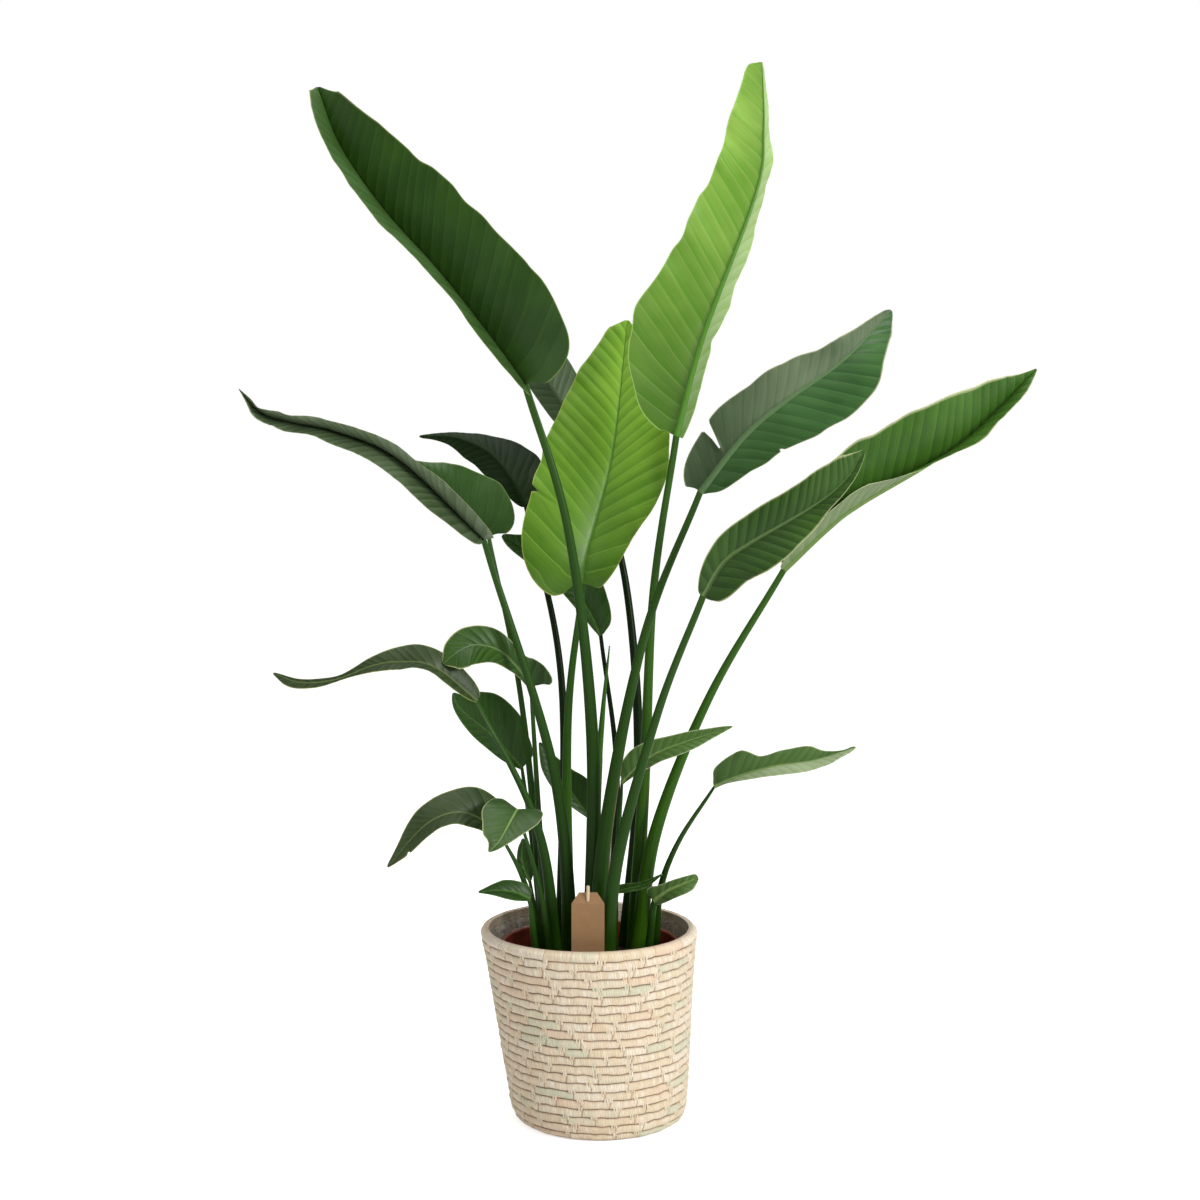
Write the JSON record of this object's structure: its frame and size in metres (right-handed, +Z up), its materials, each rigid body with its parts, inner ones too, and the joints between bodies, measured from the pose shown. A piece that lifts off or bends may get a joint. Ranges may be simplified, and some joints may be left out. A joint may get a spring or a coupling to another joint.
{
  "type": "potted bird of paradise",
  "caption": "Bird of paradise house plant with broad leaves on long stalks, in a nursery pot that stands in a coiled palm-leaf basket with a blank plant label.",
  "frame": {"origin": "centre of the basket's base, on the floor", "axes": "+Z up, -Y towards the plant's front, +X to the right as seen from the front; the leaves fan out along X"},
  "size_m": [1.0177, 0.4043, 1.3844],
  "materials": {
    "palm_leaf_weave": "dry woven palm leaf, matt",
    "clear_film": "thin clear film, glossy and crinkled",
    "terracotta_plastic": "moulded plastic, satin",
    "potting_soil": "damp crumbly potting soil",
    "kraft_card": "matt kraft card",
    "birch": "bare turned birch",
    "stalk_green": "smooth waxy leaf stalk",
    "leaf_green": "waxy leaf, satin"
  },
  "bodies": {
    "root": {"basket": "palm_leaf_weave", "liner": "clear_film", "nursery_pot": "terracotta_plastic", "soil": "potting_soil", "tag_card": "kraft_card", "tag_stake": "birch", "leaf_new_spear": "stalk_green", "stalk_tall_left": "stalk_green", "stalk_tall_right": "stalk_green", "stalk_front_bright": "stalk_green", "stalk_upper_right": "stalk_green", "stalk_right_far": "stalk_green", "stalk_right_mid": "stalk_green", "stalk_left_long": "stalk_green", "stalk_left_back": "stalk_green", "stalk_left_mid": "stalk_green", "stalk_back_top": "stalk_green", "stalk_centre_back": "stalk_green", "stalk_low_left_long": "stalk_green", "stalk_mid_left_round": "stalk_green", "stalk_left_small_dark": "stalk_green", "stalk_low_left": "stalk_green", "stalk_low_left_front": "stalk_green", "stalk_low_left_pale": "stalk_green", "stalk_low_left_tiny": "stalk_green", "stalk_low_right": "stalk_green", "stalk_right_small": "stalk_green", "stalk_right_tiny": "stalk_green", "stalk_right_dark_tiny": "stalk_green", "stalk_back_small": "stalk_green", "leaf_tall_left": "leaf_green", "leaf_tall_right": "leaf_green", "leaf_front_bright": "leaf_green", "leaf_upper_right": "leaf_green", "leaf_right_far": "leaf_green", "leaf_right_mid": "leaf_green", "leaf_left_long": "leaf_green", "leaf_left_back": "leaf_green", "leaf_left_mid": "leaf_green", "leaf_back_top": "leaf_green", "leaf_centre_back": "leaf_green", "leaf_low_left_long": "leaf_green", "leaf_mid_left_round": "leaf_green", "leaf_left_small_dark": "leaf_green", "leaf_low_left": "leaf_green", "leaf_low_left_front": "leaf_green", "leaf_low_left_pale": "leaf_green", "leaf_low_left_tiny": "leaf_green", "leaf_low_right": "leaf_green", "leaf_right_small": "leaf_green", "leaf_right_tiny": "leaf_green", "leaf_right_dark_tiny": "leaf_green", "leaf_back_small": "leaf_green"}
  },
  "joints": []
}
